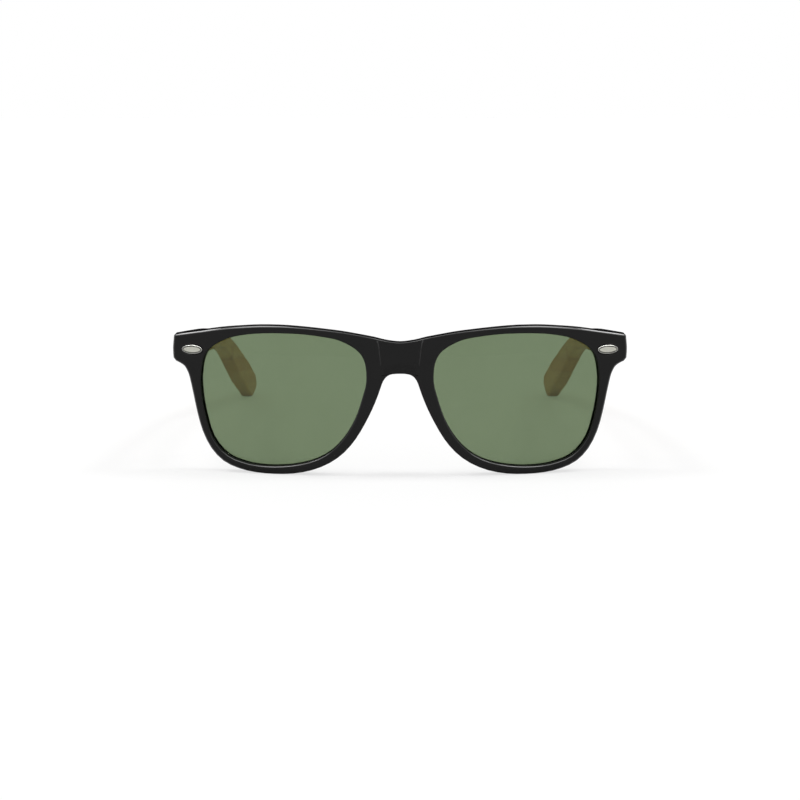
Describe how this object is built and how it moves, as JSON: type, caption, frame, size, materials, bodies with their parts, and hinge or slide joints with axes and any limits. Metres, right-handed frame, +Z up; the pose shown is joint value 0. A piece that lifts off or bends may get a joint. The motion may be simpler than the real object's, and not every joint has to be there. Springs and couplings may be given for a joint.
{
  "type": "sunglasses",
  "caption": "Square-rimmed sunglasses with a glossy black moulded front, green tinted lenses, oval metal rivets and folding bamboo temples on spring hinges.",
  "frame": {"origin": "on the table under the middle of the part, halfway between the front face and the temple ends", "axes": "+X towards the wearer's left, +Y backwards from the lenses to the temple tips, +Z up"},
  "size_m": [0.1482, 0.156, 0.0486],
  "materials": {
    "black_plastic": "polished black moulded plastic",
    "tinted_lens": "clear-through green tinted plastic",
    "rivet_metal": "bright nickel plate",
    "hinge_steel": "satin",
    "screw_steel": "bright",
    "spring_steel": "drawn wire",
    "brass": "turned",
    "bamboo": "sanded and oiled laminated bamboo"
  },
  "bodies": {
    "front": {"front_frame": "black_plastic", "right_lens": "tinted_lens", "left_lens": "tinted_lens", "right_rivet": "rivet_metal", "left_rivet": "rivet_metal", "right_front_hinge": "hinge_steel", "left_front_hinge": "hinge_steel", "right_hinge_screw": "screw_steel", "left_hinge_screw": "screw_steel"},
    "left_slider": {"left_slider": "hinge_steel", "left_stop_nut": "brass"},
    "left_temple": {"left_temple": "bamboo", "left_spring_housing": "hinge_steel", "left_housing_screws": "screw_steel", "left_guide_bush": "brass", "left_spring": "spring_steel"},
    "right_slider": {"right_slider": "hinge_steel", "right_stop_nut": "brass"},
    "right_temple": {"right_temple": "bamboo", "right_spring_housing": "hinge_steel", "right_housing_screws": "screw_steel", "right_guide_bush": "brass", "right_spring": "spring_steel"}
  },
  "joints": [
    {"name": "left_fold", "type": "hinge", "parent": "front", "child": "left_slider", "pos_m": [0.0668, -0.05866, 0.04049], "axis": [0, 0.1241, 0.9923], "range_deg": [0, 88]},
    {"name": "left_flex", "type": "slide", "parent": "left_slider", "child": "left_temple", "axis": [-0.0122, 0.9922, -0.1241], "range_m": [0, 0.0015], "stiffness_N_per_m": 1000, "springref_m": -0.003, "deforming": ["left_spring"]},
    {"name": "right_fold", "type": "hinge", "parent": "front", "child": "right_slider", "pos_m": [-0.0668, -0.05866, 0.04049], "axis": [0, -0.1241, -0.9923], "range_deg": [0, 77]},
    {"name": "right_flex", "type": "slide", "parent": "right_slider", "child": "right_temple", "axis": [0.0122, 0.9922, -0.1241], "range_m": [0, 0.0015], "stiffness_N_per_m": 1000, "springref_m": -0.003, "deforming": ["right_spring"]}
  ]
}
